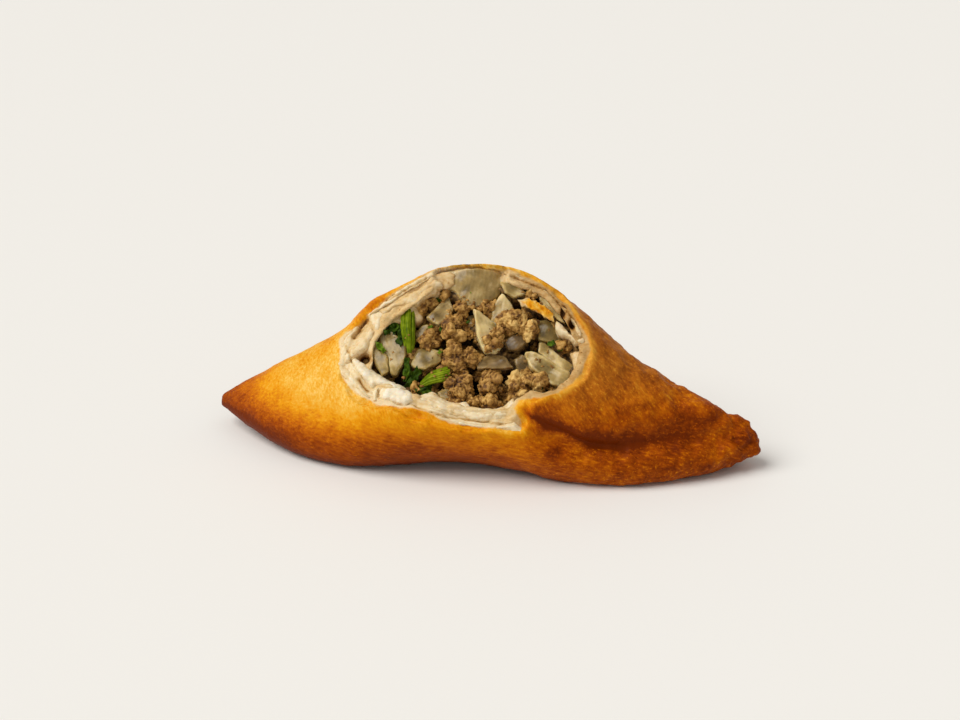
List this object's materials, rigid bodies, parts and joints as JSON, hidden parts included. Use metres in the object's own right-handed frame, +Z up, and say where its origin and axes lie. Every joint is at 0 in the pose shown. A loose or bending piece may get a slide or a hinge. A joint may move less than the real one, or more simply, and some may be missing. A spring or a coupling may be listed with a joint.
{
  "type": "bitten samosa",
  "caption": "Fried triangular pastry parcel that sits on its sealed base, with its top corner bitten open on a filling of mince, onion and coriander.",
  "frame": {"origin": "on the resting surface, under the middle of the part's box", "axes": "+X along the base towards the crimped tip, -Y towards the bitten side, +Z up"},
  "size_m": [0.117, 0.0402, 0.0402],
  "materials": {
    "crust": "golden brown fried pastry with a light oil sheen, cream where it is torn",
    "filling": "moist packed mince",
    "mince": "browned crumbs, moist",
    "onion": "cooked onion, half clear and wet",
    "herb": "cooked green stems and leaves, wet"
  },
  "bodies": {
    "root": {"pastry": "crust", "filling": "filling"}
  },
  "joints": []
}
